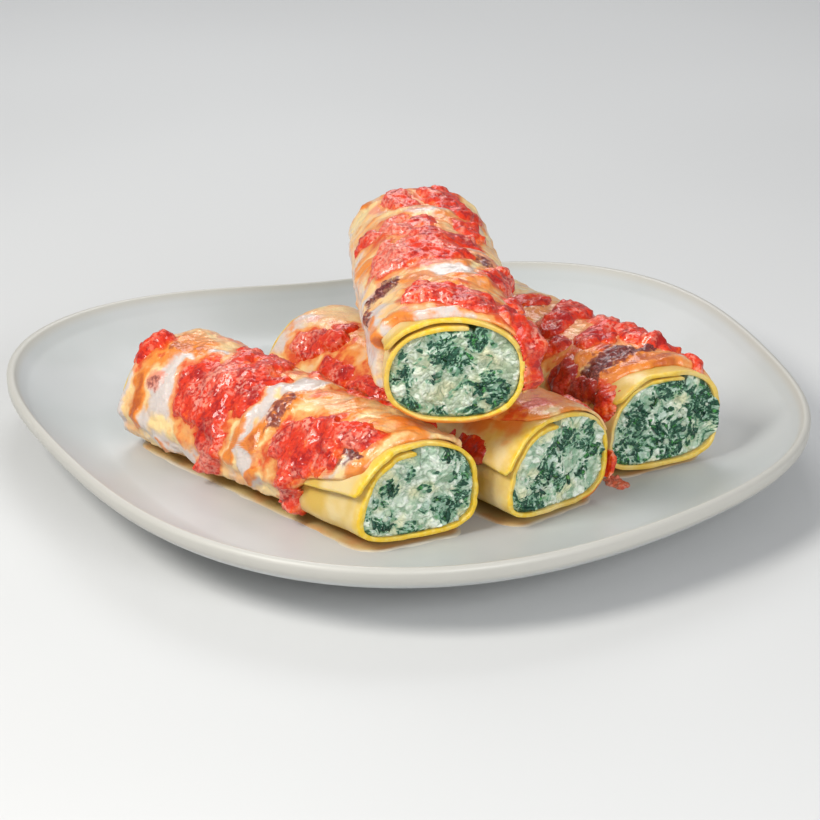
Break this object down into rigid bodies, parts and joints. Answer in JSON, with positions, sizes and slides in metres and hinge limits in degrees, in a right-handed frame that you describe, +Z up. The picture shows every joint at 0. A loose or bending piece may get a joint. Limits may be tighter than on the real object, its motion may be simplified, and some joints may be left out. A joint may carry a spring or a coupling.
{
  "type": "plate of cannelloni",
  "caption": "Baked spinach and ricotta cannelloni stacked on a rounded, shallow ceramic plate, coated in browned white sauce with lumps of tomato sauce.",
  "frame": {"origin": "middle of the plate's outline box, on the surface the plate stands on", "axes": "+Z up; -Y towards the cut ends that face the diner; +X to the diner's right"},
  "size_m": [0.2443, 0.2483, 0.0775],
  "materials": {
    "plate_glaze": "glossy pale grey-white glazed ceramic",
    "pasta": "moist cooked egg pasta",
    "filling": "crumbly ricotta with chopped spinach",
    "white_sauce": "baked white sauce, browned in places",
    "tomato_sauce": "moist, chunky tomato sauce"
  },
  "bodies": {
    "root": {"filling_left": "filling", "filling_middle": "filling", "filling_right": "filling", "filling_top": "filling", "pasta_left": "pasta", "pasta_middle": "pasta", "pasta_right": "pasta", "pasta_top": "pasta", "plate": "plate_glaze", "sauce_left": "white_sauce", "sauce_middle": "white_sauce", "sauce_right": "white_sauce", "sauce_top": "white_sauce", "tomato_floor": "tomato_sauce", "tomato_left_drip": "tomato_sauce", "tomato_left_lower": "tomato_sauce", "tomato_left_main": "tomato_sauce", "tomato_left_rear": "tomato_sauce", "tomato_left_ridge": "tomato_sauce", "tomato_left_second": "tomato_sauce", "tomato_left_valley": "tomato_sauce", "tomato_middle_rear": "tomato_sauce", "tomato_right_back": "tomato_sauce", "tomato_right_chunk": "tomato_sauce", "tomato_right_crest": "tomato_sauce", "tomato_right_crown": "tomato_sauce", "tomato_right_dark": "tomato_sauce", "tomato_right_near": "tomato_sauce", "tomato_top_front": "tomato_sauce", "tomato_top_hanging": "tomato_sauce", "tomato_top_middle": "tomato_sauce", "tomato_top_rear": "tomato_sauce", "tomato_top_side": "tomato_sauce", "tomato_top_stripe": "tomato_sauce"}
  },
  "joints": []
}
